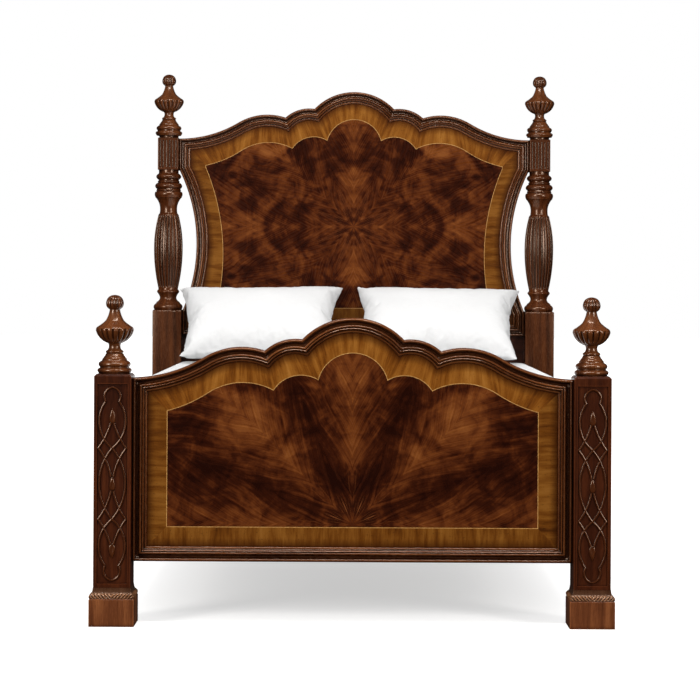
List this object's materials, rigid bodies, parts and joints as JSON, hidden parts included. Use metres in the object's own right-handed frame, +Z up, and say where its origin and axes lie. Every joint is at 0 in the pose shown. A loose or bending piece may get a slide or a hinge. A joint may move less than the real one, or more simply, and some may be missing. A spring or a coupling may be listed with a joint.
{
  "type": "four poster bed",
  "caption": "Low four-poster bed with turned and carved posts, scalloped veneered head and foot boards, slatted frame, mattress and pillows.",
  "frame": {"origin": "on the floor, midway between the four posts", "axes": "+Z up; +Y towards the headboard, along the bed; +X to the right seen from the foot"},
  "size_m": [1.772, 2.282, 2.071],
  "materials": {
    "mahogany": "satin",
    "flame_veneer": "gloss",
    "crossband_veneer": "gloss",
    "stringing": "gloss",
    "hardwood": "matte",
    "steel": "satin",
    "glide_plastic": "matte",
    "ticking": "matte",
    "pillow_cotton": "matte",
    "foundation_cloth": "matte"
  },
  "bodies": {
    "bed_frame": {"centre_beam": "hardwood", "centre_leg": "hardwood", "footboard_bottom_moulding": "mahogany", "footboard_crest_moulding": "mahogany", "footboard_crossband": "crossband_veneer", "footboard_dowels": "hardwood", "footboard_field": "flame_veneer", "footboard_finial_left": "mahogany", "footboard_finial_right": "mahogany", "footboard_fret_left": "mahogany", "footboard_fret_right": "mahogany", "footboard_gadroon_left": "mahogany", "footboard_gadroon_right": "mahogany", "footboard_panel": "mahogany", "footboard_plinth_left": "mahogany", "footboard_plinth_right": "mahogany", "footboard_post_left": "mahogany", "footboard_post_right": "mahogany", "footboard_side_moulding_left": "mahogany", "footboard_side_moulding_right": "mahogany", "footboard_stringing": "stringing", "headboard_bottom_moulding": "mahogany", "headboard_crest_moulding": "mahogany", "headboard_crossband": "crossband_veneer", "headboard_dowels": "hardwood", "headboard_field": "flame_veneer", "headboard_finial_left": "mahogany", "headboard_finial_right": "mahogany", "headboard_gadroon_left": "mahogany", "headboard_gadroon_right": "mahogany", "headboard_lower_board": "mahogany", "headboard_panel": "mahogany", "headboard_plinth_left": "mahogany", "headboard_plinth_right": "mahogany", "headboard_post_left": "mahogany", "headboard_post_right": "mahogany", "headboard_side_moulding_left": "mahogany", "headboard_side_moulding_right": "mahogany", "headboard_stringing": "stringing", "hook_plate_screws": "steel", "ledger_left": "hardwood", "ledger_right": "hardwood", "ledger_screws": "steel", "leg_bolt": "steel", "leg_insert": "steel", "post_slotted_plates": "steel", "rail_hook_plates": "steel", "side_rail_left": "mahogany", "side_rail_right": "mahogany", "slat_screws": "steel", "slats": "hardwood", "slotted_plate_screws": "steel"},
    "box_spring": {"box_spring": "foundation_cloth"},
    "mattress": {"mattress": "ticking"},
    "pillow_left": {"pillow_left": "pillow_cotton"},
    "pillow_right": {"pillow_right": "pillow_cotton"},
    "leveller": {"leg_leveller": "glide_plastic"}
  },
  "joints": [
    {"name": "box_spring_lift", "type": "slide", "parent": "bed_frame", "child": "box_spring", "axis": [0, 0, 1], "range_m": [0, 0.65]},
    {"name": "mattress_lift", "type": "slide", "parent": "box_spring", "child": "mattress", "axis": [0, 0, 1], "range_m": [0, 0.4]},
    {"name": "pillow_left_lift", "type": "slide", "parent": "mattress", "child": "pillow_left", "axis": [0, -0.6, 0.8], "range_m": [0, 0.4]},
    {"name": "pillow_right_lift", "type": "slide", "parent": "mattress", "child": "pillow_right", "axis": [0, -0.6, 0.8], "range_m": [0, 0.4]},
    {"name": "leveller_screw", "type": "slide", "parent": "bed_frame", "child": "leveller", "axis": [0, 0, 1], "range_m": [0, 0.015]}
  ]
}
